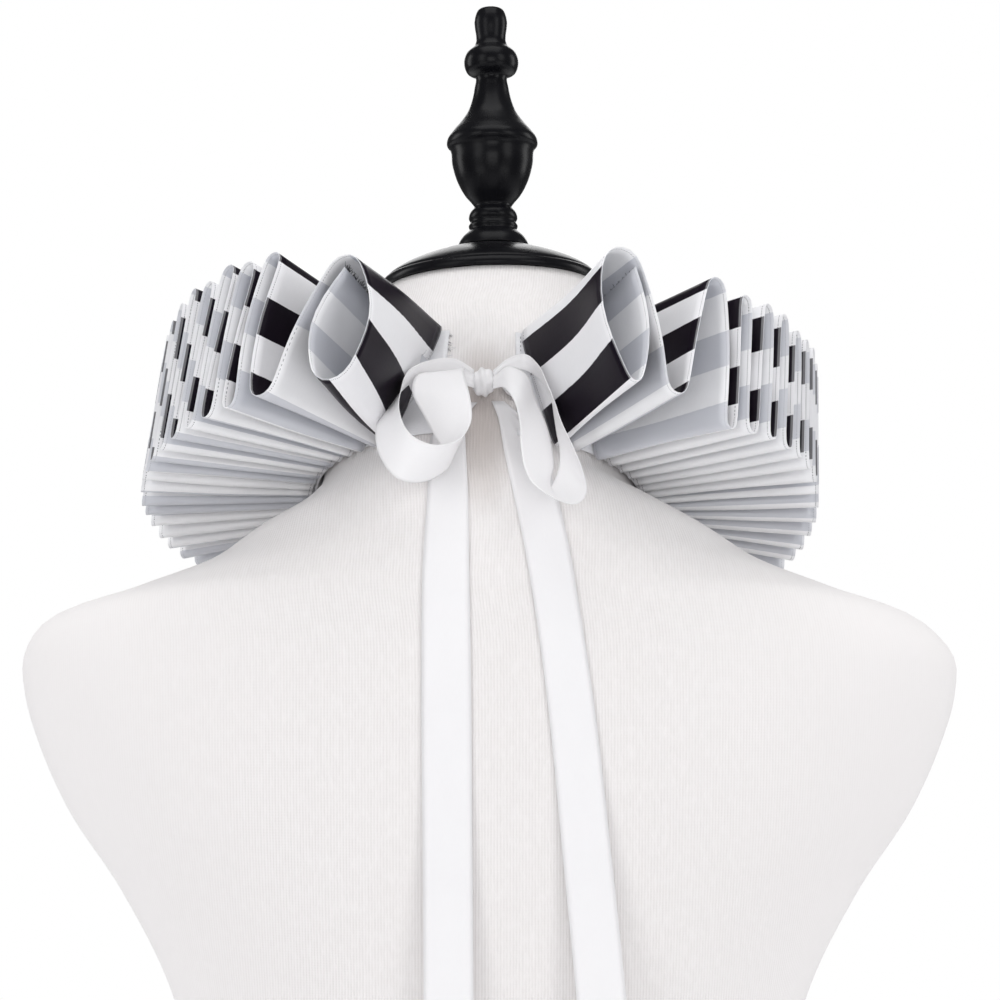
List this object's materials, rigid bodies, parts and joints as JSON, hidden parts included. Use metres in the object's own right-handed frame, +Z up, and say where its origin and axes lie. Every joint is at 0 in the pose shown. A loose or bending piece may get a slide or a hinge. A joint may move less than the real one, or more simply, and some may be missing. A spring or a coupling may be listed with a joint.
{
  "type": "ruff collar on a dress form",
  "caption": "Cross-striped satin ribbon ruff in organ pleats, tied at the back of the neck with a white satin bow, worn by a limbless dress form with a turned finial.",
  "frame": {"origin": "middle of the dress form's flat base", "axes": "+Z up along the form's height, -Y towards the wearer's back, where the bow is, +X towards the wearer's right"},
  "size_m": [0.4084, 0.2872, 0.7239],
  "materials": {
    "striped_satin": "black and white striped satin ribbon",
    "band_satin": "white satin band",
    "tie_satin": "white satin ribbon",
    "form_jersey": "off-white ribbed jersey cover",
    "black_lacquer": "glossy black lacquer on turned wood"
  },
  "bodies": {
    "root": {"ruff_ribbon": "striped_satin", "neckband": "band_satin", "tie_left": "tie_satin", "tie_right": "tie_satin", "bow_knot": "tie_satin", "bow_loop_left": "tie_satin", "bow_loop_right": "tie_satin", "tail_left": "tie_satin", "tail_right": "tie_satin", "form_body": "form_jersey", "neck_cap": "black_lacquer", "finial": "black_lacquer"}
  },
  "joints": []
}
